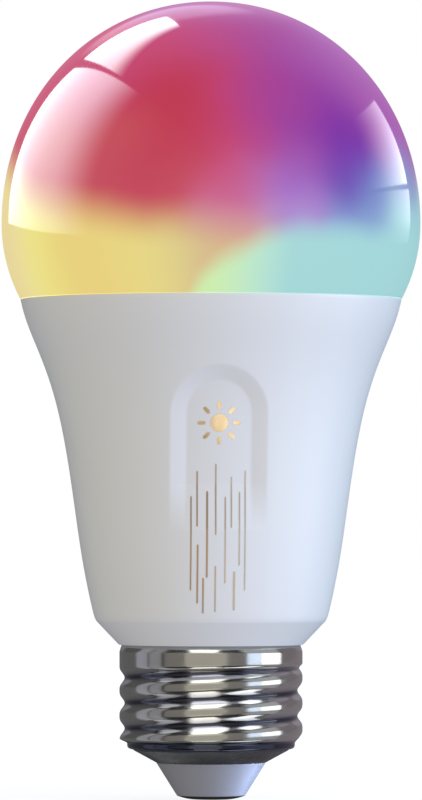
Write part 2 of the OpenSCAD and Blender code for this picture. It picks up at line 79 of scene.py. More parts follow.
# Sizes that repeat the CAD design, in millimetres
DOME_WIDE_Z = 82.3
DOME_LOWER_H = 26
DOME_POWER = 2.05
DOME_WALL = 1.2
SPIGOT_R, SPIGOT_WALL = 26, 1
WAIST_R, WAIST_Z = 21, 51.2
FOOT_R, FOOT_Z = 16.85, 26.6
BEVEL_R, BEVEL_Z = 16.34, 25.4
BEVEL_FOOT_R = 13.2
HOUSING_WALL = 1.6
NECK_R, NECK_IN_R = 11.9, 10.4
COLLAR_SEAT_R = 12.65
LEDGE_Z = 68.7
RECESS_R, RECESS_FLOOR_R = 6.85, 4.75
ARCH_Z = 54.8
RECESS_DEPTH, RECESS_END_Z, RECESS_RUN_OUT = 0.9, 38.5, 6.5
THREAD_PITCH, THREAD_DEPTH = 3.629, 0.73
THREAD_CREST_Z, THREAD_LOW_Z, THREAD_RUN_OUT = 17.4, 8, 0.7
COLLAR_Z = 19.5
END_RING_R = 12
SHELL_WALL = 0.3
RING_IN_R, RING_R, RING_Z = 5.8, 11.15, 5.25
CONE_R = 7.85
CONTACT_R, CONTACT_RIM_Z = 4.9, 0.55
CONTACT_SEAT_R, CONTACT_SEAT_Z = CONTACT_R - 0.6, CONTACT_RIM_Z + 0.65
CONTACT_STEM_R = 1.5

# Details that only the visible skins have, in millimetres
SEAM_GAP, SEAM_ROUND, SEAM_LIP = 0.02, 0.12, 0.16
THREAD_SHARPNESS = 1.7
COLLAR_IN = 0.32
INLAY_PROUD, INLAY_DEEP = 0.035, 0.3
DISC_SHARE, RAY_SHARE, RAY_HALF_WIDTH = 0.4, 0.62, 0.25

# Gold lines: place across the panel, lowest height, highest height and width
LINES = [
    (-3.85, 30, 43.3, 0.2), (-3, 39, 46.8, 0.2), (-2.9, 28.2, 36.5, 0.24),
    (-1.6, 31.8, 44, 0.28), (-2.1, 26.8, 31.8, 0.24), (-0.4, 37.8, 47.8, 0.2),
    (-0.4, 27, 33.5, 0.2), (0.95, 31, 43.2, 0.2), (1.8, 38.8, 46, 0.2),
    (2.25, 27.2, 32.7, 0.3), (2.95, 33.5, 43.9, 0.2), (3.75, 30, 46.9, 0.2),
]


# ---- Small helpers ----

def smooth(x):
    t = min(1.0, max(0.0, x))
    return t * t * (3 - 2 * t)


def mix(a, b, t):
    return a + (b - a) * t


def steps(a, b, count):
    """count + 1 even steps from a to b."""
    return [mix(a, b, i / count) for i in range(count + 1)]


def linear(rgb):
    """A screen colour, 0 to 255, as the linear colour that shaders use."""
    values = [c / 255 for c in rgb]
    return tuple(v / 12.92 if v <= 0.04045 else ((v + 0.055) / 1.055) ** 2.4 for v in values)


# ---- Outlines, in millimetres ----

def bezier(p, t):
    weights = ((1 - t) ** 3, 3 * (1 - t) ** 2 * t, 3 * (1 - t) * t * t, t ** 3)
    return tuple(sum(w * q[k] for w, q in zip(weights, p)) for k in (0, 1))


def handle(r, z, lean, dz):
    return (r + lean * dz, z + dz)


SEAM_R = DOME_R * math.sqrt(1 - ((DOME_WIDE_Z - SEAM_Z) / DOME_LOWER_H) ** 2)
FLARE = [
    (SEAM_R, SEAM_Z), handle(SEAM_R, SEAM_Z, 0.206, -6.1),
    handle(WAIST_R, WAIST_Z, 0.182, 11.8), (WAIST_R, WAIST_Z),
]
TAPER = [
    (WAIST_R, WAIST_Z), handle(WAIST_R, WAIST_Z, 0.182, -9.4),
    handle(FOOT_R, FOOT_Z, 0.244, 9), (FOOT_R, FOOT_Z),
]
SIDE = [bezier(FLARE, t) for t in steps(0, 1, 60)]
SIDE += [bezier(TAPER, t) for t in steps(0, 1, 60)][1:]


def housing_radius(z):
    """Radius of the housing's outer side at a height between the foot and the seam."""
    for (r1, z1), (r2, z2) in zip(SIDE, SIDE[1:]):
        if z2 <= z <= z1:
            return mix(r1, r2, (z1 - z) / (z1 - z2))
    return SIDE[0][0] if z > SIDE[0][1] else SIDE[-1][0]


def floor_depth(z):
    """Depth of the recess floor, which runs out into the side at its lower end."""
    return RECESS_DEPTH * min(1, max(0, (z - RECESS_END_Z) / RECESS_RUN_OUT))


def recess_depth(x, z):
    """How far the arched recess lies below the housing's side, x to the right of its middle."""
    full = floor_depth(z)
    reach = math.hypot(x, z - ARCH_Z) if z > ARCH_Z else abs(x)
    inside = (RECESS_R - reach) / (RECESS_R - RECESS_FLOOR_R)
    edge = 0.09
    if inside < -edge or full <= 0:
        return 0.0
    ramp = min(max(inside, 0), 1)
    if abs(inside) < edge:
        ramp = (inside + edge) ** 2 / (4 * edge)
    elif abs(inside - 1) < edge:
        ramp = 1 - (1 + edge - inside) ** 2 / (4 * edge)
    return full * ramp


def dome_outline(r, h, low_z, skirt_steps=22, arc_steps=80):
    """Points of a dome's side from low_z up to the pole."""
    skirt = [
        (r * math.sqrt(1 - ((DOME_WIDE_Z - z) / DOME_LOWER_H) ** 2), z)
        for z in steps(low_z, DOME_WIDE_Z, skirt_steps)
    ]
    arc = [
        (r * math.cos(a) ** (2 / DOME_POWER), DOME_WIDE_Z + h * math.sin(a) ** (2 / DOME_POWER))
        for a in steps(0, math.pi / 2, arc_steps)
    ]
    return skirt[:-1] + arc[:-1] + [(0, DOME_WIDE_Z + h)]


def thread_radius(z, angle):
    """Right-handed knuckle thread that runs out into the collar and into the rolled end."""
    turn = 2 * math.pi * (z - THREAD_CREST_Z) / THREAD_PITCH - angle
    thread = SHELL_R - THREAD_DEPTH * (0.5 - 0.5 * math.cos(turn)) ** THREAD_SHARPNESS
    end = smooth((THREAD_LOW_Z + THREAD_RUN_OUT - z) / THREAD_RUN_OUT)
    return mix(mix(thread, END_RING_R, end), SHELL_R, smooth(z - COLLAR_Z + 1))


# ---- Meshes ----

def put(name, data):
    """A new object in the scene."""
    thing = bpy.data.objects.new(name, data)
    bpy.context.scene.collection.objects.link(thing)
    return thing


def new_piece(name, points, faces, smooth_angle=40):
    """A mesh object from points in millimetres, smooth except at edges sharper than the angle."""
    mesh = bpy.data.meshes.new(name)
    mesh.from_pydata([(x * MM, y * MM, z * MM) for x, y, z in points], [], faces)
    mesh.validate()
    piece = put(name, mesh)
    mesh.shade_smooth()
    mesh.set_sharp_from_angle(angle=math.radians(smooth_angle))
    return piece


def columns(name, angles, column, closed_loop=True):
    """A turned solid from column(angle), a list of (radius, height); a radius of 0 is a pole."""
    points, rows = [], []
    shapes = [column(a) for a in angles]
    for k in range(len(shapes[0])):
        if shapes[0][k][0] < ON_AXIS:
            rows.append([len(points)] * len(angles))
            points.append((0, 0, shapes[0][k][1]))
            continue
        rows.append(list(range(len(points), len(points) + len(angles))))
        for a, shape in zip(angles, shapes):
            r, z = shape[k]
            points.append((r * math.sin(a), -r * math.cos(a), z))
    faces = []
    for below, above in zip(rows, rows[1:] + (rows[:1] if closed_loop else [])):
        for i in range(len(angles)):
            j = (i + 1) % len(angles)
            corners = [below[i], below[j], above[j], above[i]]
            kept = [c for n, c in enumerate(corners) if c not in corners[:n]]
            if len(kept) > 2:
                faces.append(kept)
    return new_piece(name, points, faces)


def even_angles(count):
    return [2 * math.pi * i / count for i in range(count)]


def make_dome():
    height = DOME_TOP_Z - DOME_WIDE_Z
    outer = dome_outline(DOME_R, height, SEAM_Z + SEAM_ROUND)
    inner = dome_outline(DOME_R - DOME_WALL, height - DOME_WALL, SEAM_Z + 1.5, 8, 30)
    lip = [
        (SPIGOT_R, SEAM_Z + SEAM_GAP), (SEAM_R - SEAM_LIP, SEAM_Z + SEAM_GAP),
        (SEAM_R - 0.05, SEAM_Z + 0.05),
    ]
    bore_r, cut = SPIGOT_R - SPIGOT_WALL, 0.2
    spigot = [
        (bore_r, SEAM_Z + 0.8), (bore_r, SPIGOT_Z + cut), (SPIGOT_R - 0.8, SPIGOT_Z),
        (SPIGOT_R - cut, SPIGOT_Z), (SPIGOT_R, SPIGOT_Z + cut),
    ]
    outline = lip + outer + inner[::-1] + spigot
    return columns("glow_dome", even_angles(256), lambda a: outline)


def panel_angles():
    """Angles round the housing: fine across the panel, coarser elsewhere, 0 at the panel."""
    front = math.radians(23)
    fine = steps(-front, front, 110)
    return fine + steps(front, 2 * math.pi - front, 96)[1:-1]


def housing_heights():
    """Heights down the housing's side, fine where the recess shapes it."""
    top, bottom = 63, 37
    return (steps(SEAM_Z - SEAM_ROUND, top, 20) + steps(top, bottom, 150)[1:]
            + steps(bottom, FOOT_Z, 18)[1:])


def make_housing():
    heights = housing_heights()
    radii = [housing_radius(z) for z in heights]
    corner = [
        (FOOT_R, FOOT_Z), (FOOT_R - 0.18, FOOT_Z - 0.7), (BEVEL_R + 0.1, BEVEL_Z + 0.1),
        (BEVEL_R, BEVEL_Z),
    ]
    fillet = [bezier(corner, t) for t in steps(0, 1, 6)][1:]
    bevel = [(mix(BEVEL_R, BEVEL_FOOT_R, t), mix(BEVEL_Z, SHELL_TOP_Z, t)) for t in
             (0.03, 0.3, 0.6, 0.9, 0.97, 1)]
    cut = 0.15
    foot = [
        (COLLAR_SEAT_R + 0.1, SHELL_TOP_Z + 0.01), (COLLAR_SEAT_R, SHELL_TOP_Z - 0.05),
        (COLLAR_SEAT_R, COLLAR_Z + 0.4), (NECK_R, COLLAR_Z), (NECK_R, NECK_Z + cut),
        (NECK_R - cut, NECK_Z), (NECK_IN_R + cut, NECK_Z), (NECK_IN_R, NECK_Z + cut),
        (NECK_IN_R, SHELL_TOP_Z - 0.3),
    ]
    inner = [(housing_radius(z) - HOUSING_WALL, z) for z in steps(FOOT_Z, LEDGE_Z - 0.3, 36)]
    rim = [
        (housing_radius(LEDGE_Z) - HOUSING_WALL, LEDGE_Z), (SPIGOT_R + 0.1, LEDGE_Z),
        (SPIGOT_R + 0.1, SEAM_Z - SEAM_GAP), (SEAM_R - SEAM_LIP, SEAM_Z - SEAM_GAP),
        (SEAM_R - 0.04, SEAM_Z - 0.05),
    ]

    def column(angle):
        side = [(r - (recess_depth(r * math.sin(angle), z) if math.cos(angle) > 0 else 0), z)
                for r, z in zip(radii, heights)]
        return (side + fillet + bevel + foot + inner + rim)[::-1]

    return columns("housing_body", panel_angles(), column)


def shell_outline():
    """The screw shell's section as (radius, height).

    The radius is None on the outside of the thread and below 0 on its inside.
    """
    rim_low = SHELL_TOP_Z - 0.98
    top = [
        (SHELL_R - COLLAR_IN, COLLAR_Z), (SHELL_R - COLLAR_IN, rim_low),
        (SHELL_R - 0.5, SHELL_TOP_Z - 0.06),
        (SHELL_R - 0.46, SHELL_TOP_Z), (SHELL_R - 0.35, SHELL_TOP_Z),
        (SHELL_R - 0.3, SHELL_TOP_Z - 0.04), (SHELL_R - 0.03, rim_low + 0.1),
        (SHELL_R, rim_low), (SHELL_R, rim_low - 0.06), (SHELL_R, mix(rim_low, COLLAR_Z, 0.5)),
    ]
    thread = [(None, z) for z in steps(COLLAR_Z, THREAD_LOW_Z, 120)]
    end = [
        (END_RING_R, SHELL_END_Z + 0.5), (END_RING_R - 0.06, SHELL_END_Z + 0.28),
        (END_RING_R - 0.22, SHELL_END_Z + 0.1), (END_RING_R - 0.45, SHELL_END_Z + 0.01),
        (END_RING_R - 0.74, SHELL_END_Z), (END_RING_R - 0.8, SHELL_END_Z + 0.06),
        (END_RING_R - 0.8, SHELL_END_Z + 0.24), (END_RING_R - 0.74, SHELL_END_Z + 0.3),
        (END_RING_R - 0.5, SHELL_END_Z + 0.32), (END_RING_R - SHELL_WALL, SHELL_END_Z + 0.6),
    ]
    back = [(-SHELL_WALL, z) for z in steps(THREAD_LOW_Z + 0.1, COLLAR_Z - 0.1, 50)]
    return top + thread + end + back


def make_shell():
    outline, thread_start = shell_outline(), math.pi / 2

    def column(angle):
        shape = []
        for r, z in outline:
            if r is None or r < 0:
                r = thread_radius(z, angle - thread_start) + (r or 0)
            shape.append((r, z))
        return shape[::-1]

    return columns("threaded_shell", even_angles(288), column)


def rounded(corners, size, count=4):
    """A closed section of (radius, height) corners, each cut back and rounded by size."""
    section = []
    for i, corner in enumerate(corners):
        here = Vector(corner)
        before, after = Vector(corners[i - 1]), Vector(corners[(i + 1) % len(corners)])
        if here.x < ON_AXIS:
            section.append(tuple(here))
            continue
        cut = min(size, (before - here).length / 2.1, (after - here).length / 2.1)
        start = here + (before - here).normalized() * cut
        end = here + (after - here).normalized() * cut
        for t in steps(0, 1, count):
            section.append(tuple(start.lerp(here, t).lerp(here.lerp(end, t), t)))
    return section


def make_ring():
    top_z = SHELL_END_Z + 1.2
    section = rounded([
        (RING_IN_R, RING_Z), (CONE_R, RING_Z), (RING_R, SHELL_END_Z - 0.15),
        (RING_R, top_z), (RING_IN_R, top_z),
    ], 0.12)
    return columns("shoulder_ring", even_angles(160), lambda a: section)


def make_cone():
    floor_z = CONTACT_RIM_Z + 1.9
    section = rounded([
        (CONTACT_STEM_R, CONTACT_SEAT_Z), (CONTACT_SEAT_R, CONTACT_SEAT_Z),
        (CONTACT_SEAT_R, CONTACT_RIM_Z), (CONTACT_R, CONTACT_RIM_Z), (CONE_R, RING_Z),
        (RING_IN_R, RING_Z), (CONTACT_R - 1.2, floor_z), (CONTACT_STEM_R, floor_z),
    ], 0.1)
    return columns("foot_cone", even_angles(160), lambda a: section)


def make_contact():
    top_z = high("center_contact", 2)
    section = [(0, 0), (2.3, 0)] + [
        (mix(2.6, CONTACT_R - 0.02, t), 0.02 + 0.5 * t ** 1.8) for t in steps(0, 1, 12)
    ] + [
        (CONTACT_R - 0.05, CONTACT_RIM_Z), (CONTACT_SEAT_R, CONTACT_RIM_Z),
        (CONTACT_SEAT_R, CONTACT_SEAT_Z), (CONTACT_STEM_R, CONTACT_SEAT_Z),
        (CONTACT_STEM_R, top_z - 0.3), (CONTACT_STEM_R - 0.3, top_z), (0, top_z),
    ]
    return columns("contact_button", even_angles(128), lambda a: section, closed_loop=False)


def inlay(outline, count_u, count_v):
    """Points and faces of one thin gold plate that lies on the panel.

    outline(u, v) maps the unit square to a place (x, z) on the panel, and the counts are the
    cells each way.
    """
    points, faces = [], []
    for rise in (INLAY_PROUD, -INLAY_DEEP):
        for j in range(count_v + 1):
            for i in range(count_u + 1):
                x, z = outline(i / count_u, j / count_v)
                r = housing_radius(z) - recess_depth(x, z) + rise
                points.append((x, -math.sqrt(max(r * r - x * x, 0)), z))
    width = count_u + 1
    back = width * (count_v + 1)
    for j in range(count_v):
        for i in range(count_u):
            a = j * width + i
            faces.append((a, a + 1, a + width + 1, a + width))
            faces.append((back + a, back + a + width, back + a + width + 1, back + a + 1))
    rim = [j * width for j in range(count_v, 0, -1)] + list(range(count_u))
    rim += [j * width + count_u for j in range(count_v)]
    rim += [count_v * width + i for i in range(count_u, 0, -1)]
    for a, b in zip(rim, rim[1:] + rim[:1]):
        faces.append((a, back + a, back + b, b))
    return points, faces


def gather(name, plates):
    points, faces = [], []
    for plate_points, plate_faces in plates:
        start = len(points)
        points += plate_points
        faces += [tuple(start + k for k in face) for face in plate_faces]
    return new_piece(name, points, faces, 30)


def make_lines():
    def strip(x, z1, z2, width):
        def place(u, v):
            taper = min(1, 4 * min(v, 1 - v) * (z2 - z1) / width)
            return x + (u - 0.5) * width * max(taper, 0.35), mix(z1, z2, v)
        return inlay(place, 2, 60)
    return gather("gold_lines", [strip(*line) for line in LINES])


def make_symbol():
    def disc(u, v):
        """The unit square as a disc, without pinching its corners to a point."""
        a, b = 2 * u - 1, 2 * v - 1
        x, y = a * math.sqrt(1 - b * b / 2), b * math.sqrt(1 - a * a / 2)
        return DISC_SHARE * SYMBOL_R * x, SYMBOL_Z + DISC_SHARE * SYMBOL_R * y

    def ray(turn):
        """A short bar with round ends that points away from the disc."""
        def place(u, v):
            end = RAY_HALF_WIDTH * (1 - math.sqrt(1 - (2 * v - 1) ** 2))
            along = mix(RAY_SHARE * SYMBOL_R + end, SYMBOL_R - end, u)
            side = (v - 0.5) * 2 * RAY_HALF_WIDTH
            c, s = math.cos(turn), math.sin(turn)
            return along * c - side * s, SYMBOL_Z + along * s + side * c
        return place

    plates = [inlay(disc, 16, 16)]
    plates += [inlay(ray(math.pi * k / 4), 6, 8) for k in range(8)]
    return gather("gold_symbol", plates)


# ---- Materials ----

class Graph:
    """Short ways to add nodes to one node tree and to link them."""

    def __init__(self, tree):
        self.tree = tree

    def add(self, kind, **settings):
        node = self.tree.nodes.new(kind)
        for key, value in settings.items():
            setattr(node, key, value)
        return node

    def feed(self, socket, value):
        """Link a socket to another node's output, or set it to a constant."""
        if isinstance(value, bpy.types.NodeSocket):
            self.tree.links.new(value, socket)
        else:
            socket.default_value = (*value, 1) if socket.type == "RGBA" else value

    def feed_all(self, sockets, values):
        for socket, value in zip(sockets, values):
            self.feed(socket, value)

    def math(self, operation, a, b):
        node = self.add("ShaderNodeMath", operation=operation)
        self.feed_all(node.inputs, (a, b))
        return node.outputs[0]

    def vector(self, operation, *values, scale=None):
        node = self.add("ShaderNodeVectorMath", operation=operation)
        self.feed_all(node.inputs, values)
        if scale is not None:
            self.feed(node.inputs["Scale"], scale)
        gives_number = operation in ("DISTANCE", "LENGTH", "DOT_PRODUCT")
        return node.outputs["Value" if gives_number else "Vector"]

    def split(self, vector):
        node = self.add("ShaderNodeSeparateXYZ")
        self.feed(node.inputs[0], vector)
        return node.outputs

    def ramp(self, value, stops, blending="LINEAR"):
        node = self.add("ShaderNodeValToRGB")
        node.color_ramp.interpolation = blending
        self.feed(node.inputs[0], value)
        while len(node.color_ramp.elements) < len(stops):
            node.color_ramp.elements.new(0.5)
        for element, (at, color) in zip(node.color_ramp.elements, stops):
            element.position, element.color = at, (*color, 1)
        return node.outputs["Color"]

    def span(self, value, low_in, high_in, low_out=0.0, high_out=1.0, smooth_step=False):
        kind = "SMOOTHSTEP" if smooth_step else "LINEAR"
        node = self.add("ShaderNodeMapRange", interpolation_type=kind)
        self.feed_all(node.inputs, (value, low_in, high_in, low_out, high_out))
        return node.outputs[0]

    def blend(self, factor, a, b):
        node = self.add("ShaderNodeMix", data_type="RGBA")
        self.feed_all((node.inputs["Factor"], node.inputs[6], node.inputs[7]), (factor, a, b))
        return node.outputs[2]


class Look(Graph):
    """A node material built round one Principled shader; places are in metres."""

    def __init__(self, name, **sockets):
        self.material = bpy.data.materials.new(name)
        self.material.use_nodes = True
        super().__init__(self.material.node_tree)
        self.shader = self.tree.nodes["Principled BSDF"]
        for socket, value in sockets.items():
            self.set(socket.replace("_", " "), value)
        self.place = self.add("ShaderNodeTexCoord").outputs["Object"]

    def set(self, socket, value):
        self.feed(self.shader.inputs[socket], value)

    def noise(self, size_mm, detail, place=None, color=False):
        node = self.add("ShaderNodeTexNoise")
        self.feed(node.inputs["Vector"], place or self.place)
        node.inputs["Scale"].default_value = 1 / (size_mm * MM)
        node.inputs["Detail"].default_value = detail
        return node.outputs["Color" if color else "Fac"]

    def stretch(self, x, y, z):
        """The place with each axis scaled."""
        return self.vector("MULTIPLY", self.place, (x, y, z))

    def bump(self, height, depth_mm):
        node = self.add("ShaderNodeBump")
        node.inputs["Strength"].default_value = 1
        node.inputs["Distance"].default_value = depth_mm * MM
        self.feed(node.inputs["Height"], height)
        self.set("Normal", node.outputs[0])

    def gloss(self, size_mm, lowest, highest):
        """Roughness that drifts between two levels."""
        self.set("Roughness", self.span(self.noise(size_mm, 2), 0.3, 0.7, lowest, highest))

    def vary(self, color, amount, size_mm, roughness, spread, grain_mm, grain_depth):
        """Cloudy colour, uneven gloss and a fine grain round one base colour."""
        dark = tuple(c * (1 - amount) for c in color)
        light = tuple(min(1, c * (1 + amount)) for c in color)
        self.set("Base Color", self.blend(self.noise(size_mm, 3), dark, light))
        self.gloss(size_mm / 3, roughness - spread, roughness + spread)
        self.bump(self.noise(grain_mm, 2), grain_depth)
        return self.material


# Colours of the light in the diffuser, as seen on a screen
GLOW = {
    "crimson": (190, 57, 77), "ruby": (192, 61, 90), "rose": (197, 70, 116),
    "magenta": (181, 72, 140), "blush": (203, 92, 138), "coral": (204, 96, 100),
    "plum": (164, 66, 148), "orchid": (166, 90, 172), "violet": (146, 64, 162),
    "deep_violet": (110, 36, 158), "royal": (116, 66, 174), "indigo": (114, 94, 184),
    "lavender": (154, 106, 200), "mauve": (182, 108, 172), "lilac": (178, 134, 204),
    "pink": (206, 124, 160), "blue": (132, 152, 206), "sky": (152, 190, 219),
    "aqua": (161, 211, 215), "mint": (187, 231, 207), "lime": (208, 238, 170),
    "scarlet": (199, 84, 98), "periwinkle": (166, 172, 214), "dusk": (190, 160, 184),
    "navy": (106, 84, 180), "steel": (112, 126, 194), "tan": (214, 180, 142),
    "sand": (221, 208, 140), "honey": (232, 203, 126), "yellow": (235, 219, 132),
    "lemon": (240, 234, 134), "cream": (236, 216, 168),
}

# Patches of the upper glow: degrees round from the panel, height and reach in millimetres,
# colour. They run from the front to the sides and then to the back.
PATCHES = [
    (0, 113, 7, "mauve"), (-18, 107.5, 6, "rose"), (2, 107, 6, "magenta"),
    (25, 107, 7, "plum"), (45, 106, 6, "orchid"), (-40, 102, 7, "rose"),
    (-11, 101, 7, "crimson"), (3, 99.5, 5, "rose"), (14, 100, 5, "plum"),
    (24, 100, 5, "plum"), (36, 101, 6, "violet"), (55, 101, 8, "orchid"),
    (-22, 95, 7, "crimson"), (-7, 94, 6, "ruby"), (3, 93, 4, "rose"), (12, 96, 5, "plum"),
    (12, 92.5, 3, "magenta"), (26, 94, 5, "violet"), (38, 95, 5, "deep_violet"),
    (38, 90, 4, "royal"), (24, 89.5, 4, "orchid"), (-32, 88, 6, "scarlet"),
    (-14, 87, 6, "scarlet"), (-29, 93.5, 4, "coral"), (-22, 89.5, 5, "ruby"),
    (22, 81, 2.5, "periwinkle"), (24, 83.6, 3, "lilac"), (12, 81.6, 2.5, "dusk"),
    (1, 87, 4, "blush"), (10, 87, 4, "mauve"), (20, 86, 4, "lavender"), (34, 86, 4, "navy"),
    (47, 86, 4, "steel"), (-3, 82.5, 3, "pink"), (7, 82.5, 3, "pink"), (15, 83, 3, "lilac"),
    (24, 82.5, 3, "lilac"), (33, 82, 3, "blue"), (46, 82, 4, "blue"), (31, 79, 3, "sky"),
    (24, 77, 4, "aqua"), (45, 77, 5, "aqua"), (62, 80, 6, "aqua"), (66, 89, 4, "blue"),
    (68, 95, 6, "orchid"), (-62, 94, 8, "coral"), (-75, 99, 7, "rose"),
    (-105, 97, 9, "coral"), (-100, 105, 9, "rose"), (-140, 93, 10, "magenta"),
    (-150, 106, 10, "violet"), (180, 90, 9, "blue"), (175, 103, 9, "deep_violet"),
    (138, 91, 9, "indigo"), (130, 104, 9, "orchid"), (140, 78, 9, "aqua"),
    (92, 80, 8, "aqua"), (100, 94, 8, "violet"), (92, 104, 9, "orchid"), (180, 76, 9, "sky"),
]

# The warm light low in the diffuser: its colours and the height of its edge, by degrees.
# The first two rows and the last two agree, so that no seam shows at the back.
WARM = [
    (-180, "honey"), (-165, "honey"), (-120, "yellow"), (-76, "cream"), (-60, "lemon"),
    (-45, "honey"), (-25, "yellow"), (-12, "sand"), (-2, "tan"), (12, "tan"), (90, "sand"),
    (165, "honey"), (180, "honey"),
]
WARM_EDGE = [
    (-180, 77), (-168, 77), (-145, 80), (-120, 87), (-85, 93), (-64, 85), (-42, 83.6),
    (-24, 81.4), (-8, 81.4), (2, 80.6), (10, 79.8), (16, 77), (24, 71), (40, 66), (115, 66),
    (145, 73), (168, 77), (180, 77),
]

# The pool of green and aqua light below it
POOL = [(-30, "lime"), (-2, "lime"), (9, "mint"), (20, "aqua"), (180, "aqua")]
POOL_EDGE = [
    (-180, 64), (-168, 64), (-30, 62), (-18, 64), (-10, 70.5), (-5, 73.8), (0, 76),
    (5, 77.5), (10, 78.8), (18, 80.2), (30, 80.6), (45, 80.2), (110, 79), (140, 72),
    (168, 64), (180, 64),
]


# Height that edges are counted from and the span they're shares of, in millimetres
EDGE_LOW_Z, EDGE_SPAN = 60, 60


def by_degrees(look, turn, stops, color=False):
    """A ramp round the diffuser, from -180 to 180 degrees, of named colours or of heights."""
    rows = []
    for degrees, value in stops:
        shade = linear(GLOW[value]) if color else ((value - EDGE_LOW_Z) / EDGE_SPAN,) * 3
        rows.append(((degrees + 180) / 360, shade))
    return look.ramp(turn, rows, "B_SPLINE")


def patches_look(look, place):
    """The patches melted together: near one it rules, far from all they share."""
    total, shade = 0.0, (0.0, 0.0, 0.0)
    for degrees, z, reach, name in PATCHES:
        a = math.radians(degrees)
        h = (z - DOME_WIDE_Z) / (DOME_TOP_Z - DOME_WIDE_Z)
        r = DOME_R * math.sqrt(max(0, 1 - h * h)) if h > 0 else mix(DOME_R, SEAM_R, -h * 2.6)
        spot = (r * math.sin(a) * MM, -r * math.cos(a) * MM, z * MM)
        apart = look.math("DIVIDE", look.vector("DISTANCE", place, spot), reach * MM)
        fall = look.math("MULTIPLY", look.math("POWER", apart, 2), -1)
        near = look.math("POWER", 2.718, fall)
        far = look.math("DIVIDE", 0.0004, look.math("ADD", apart, 0.3))
        weight = look.math("ADD", near, far)
        total = look.math("ADD", weight, total)
        tint = look.vector("SCALE", linear(GLOW[name]), scale=weight)
        shade = look.vector("ADD", tint, shade)
    return look.vector("SCALE", shade, scale=look.math("DIVIDE", 1, total))


def dome_look():
    look = Look("glowing_diffuser", Roughness=0.06, IOR=1.45, Emission_Strength=0.9)
    drift = look.vector("SUBTRACT", look.noise(14, 2, color=True), (0.5, 0.5, 0.5))
    place = look.vector("ADD", look.place, look.vector("SCALE", drift, scale=3 * MM))
    glow = patches_look(look, place)
    x, y, z = look.split(place)
    turn = look.math("ARCTAN2", x, look.math("MULTIPLY", y, -1))
    turn = look.span(turn, -math.pi, math.pi)
    height = look.span(z, EDGE_LOW_Z * MM, (EDGE_LOW_Z + EDGE_SPAN) * MM)
    for colors, edge, soft in ((WARM, WARM_EDGE, 4.2), (POOL, POOL_EDGE, 2.6)):
        above = look.math("SUBTRACT", height, by_degrees(look, turn, edge))
        inside = look.span(above, soft / EDGE_SPAN, -soft / EDGE_SPAN, smooth_step=True)
        glow = look.blend(inside, glow, by_degrees(look, turn, colors, True))
    look.set("Emission Color", glow)
    look.set("Base Color", look.vector("SCALE", glow, scale=0.15))
    return look.material


def housing_look():
    look = Look("satin_white_plastic", IOR=1.46)
    return look.vary((0.86, 0.865, 0.875), amount=0.01, size_mm=20, roughness=0.42,
                     spread=0.03, grain_mm=0.12, grain_depth=0.002)


def gold_look():
    look = Look("gold_foil", Metallic=0.85, IOR=1.5)
    look.set("Base Color", look.ramp(look.noise(4, 2), [
        (0.3, (0.55, 0.43, 0.25)), (0.5, (0.8, 0.61, 0.35)), (0.7, (0.95, 0.8, 0.52)),
    ]))
    look.gloss(2.5, 0.24, 0.34)
    return look.material


def thin_gold_look():
    """Copper on the left of the panel, paler and greyer on the right."""
    look = Look("thin_gold_foil", Metallic=0.6, IOR=1.5)
    tone = look.math("ADD", look.span(look.split(look.place)["X"], -3 * MM, 3 * MM, 0.15, 0.6),
                     look.span(look.noise(6, 1), 0.3, 0.7, -0.15, 0.25))
    look.set("Base Color", look.ramp(tone, [
        (0.1, (0.62, 0.4, 0.25)), (0.4, (0.5, 0.42, 0.33)), (0.8, (0.46, 0.44, 0.38)),
    ]))
    look.gloss(2.5, 0.28, 0.38)
    return look.material


def nickel_look():
    """Nickel, bright on the crests of the thread, with painted shade that darkens its valleys and
    the narrower rolled end.
    """
    look = Look("nickel_plate", Metallic=1.0)
    radius = look.vector("LENGTH", look.stretch(1, 1, 0))
    painted_shade_mask = look.span(radius, (SHELL_R - THREAD_DEPTH) * MM, (SHELL_R - 0.05) * MM)
    # Painted shade: the colour runs from navy-dark where the radius is least (thread valleys,
    # rolled end) to plain nickel on the crests.
    plate = look.ramp(painted_shade_mask, [
        (0.0, (0.1, 0.11, 0.16)), (0.3, (0.5, 0.5, 0.52)), (0.8, (0.67, 0.67, 0.65)),
    ])
    dull = look.vector("SCALE", plate, scale=0.88)
    look.set("Base Color", look.blend(look.noise(5, 3), plate, dull))
    look.set("Roughness", look.span(look.noise(1.5, 3), 0.3, 0.7, 0.12, 0.18))
    look.bump(look.noise(0.35, 2, look.stretch(1, 1, 4)), 0.002)
    return look.material


def black_look():
    """Black, with painted light that makes it greyer towards the shell."""
    look = Look("black_insulator", IOR=1.5)
    # Painted light: the base colour grows greyer with height, up towards the shell.
    rise = look.span(look.split(look.place)["Z"], RING_Z * MM, SHELL_END_Z * MM)
    look.set("Base Color", look.ramp(rise, [
        (0.0, (0.013, 0.013, 0.014)), (0.5, (0.016, 0.017, 0.019)), (1.0, (0.05, 0.053, 0.063)),
    ]))
    look.gloss(1, 0.24, 0.36)
    look.bump(look.noise(0.15, 2), 0.004)
    return look.material


def cone_look():
    look = Look("pale_insulator", IOR=1.46)
    return look.vary((0.32, 0.32, 0.35), amount=0.02, size_mm=5, roughness=0.45,
                     spread=0.05, grain_mm=0.15, grain_depth=0.003)


def contact_look():
    look = Look("tinned_contact", Metallic=1.0)
    return look.vary((0.34, 0.35, 0.37), amount=0.15, size_mm=1.5, roughness=0.35,
                     spread=0.08, grain_mm=0.4, grain_depth=0.01)


